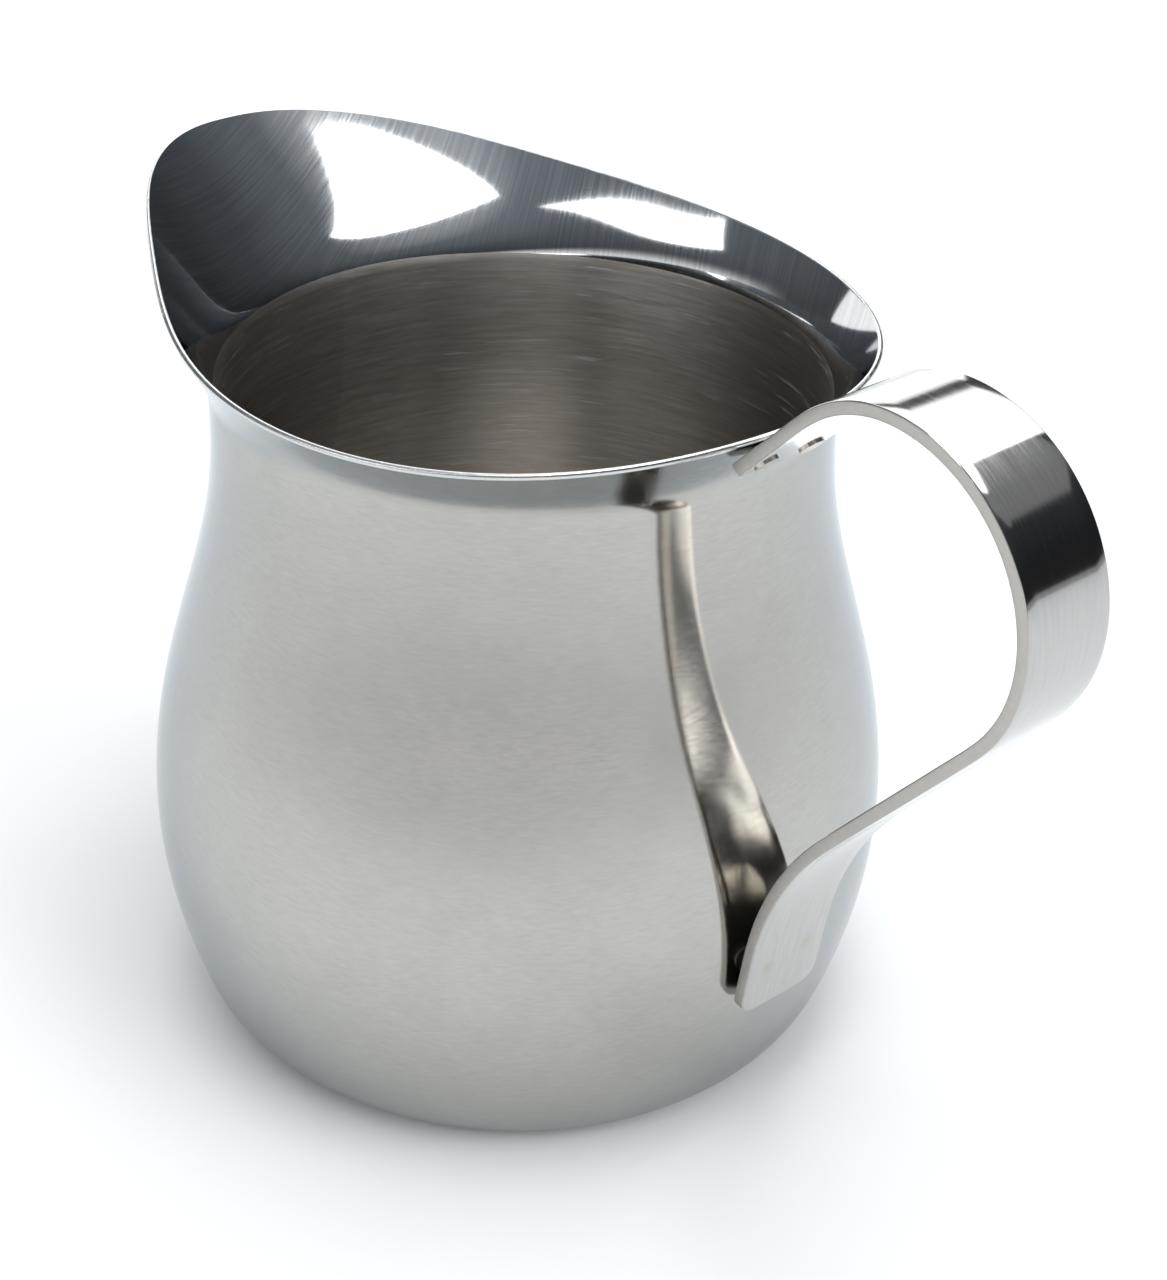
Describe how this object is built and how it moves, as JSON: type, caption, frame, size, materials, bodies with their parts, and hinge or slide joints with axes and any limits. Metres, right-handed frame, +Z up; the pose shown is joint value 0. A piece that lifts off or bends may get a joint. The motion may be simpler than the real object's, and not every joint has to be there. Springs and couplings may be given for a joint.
{
  "type": "bell creamer jug",
  "caption": "Small polished steel jug with a bell-shaped bowl, a wide flared pouring lip and a bent strip loop handle, for serving cream or milk at table.",
  "frame": {"origin": "centre of the flat base, in the plane the jug stands on, on the axis of the bowl", "axes": "+Z up, +X towards the handle, -X towards the pouring lip, symmetric about the XZ plane"},
  "size_m": [0.0954, 0.062, 0.0697],
  "materials": {
    "bowl_steel": "mirror-polished stainless steel outside and on the flare, satin turned inside",
    "strip_steel": "polished stainless strip with satin cut edges",
    "weld_metal": "heat-tinted resistance weld"
  },
  "bodies": {
    "root": {"jug_body": "bowl_steel", "handle": "strip_steel", "foot_weld_near": "weld_metal", "foot_weld_far": "weld_metal", "tail_weld_near": "weld_metal", "tail_weld_far": "weld_metal"}
  },
  "joints": []
}
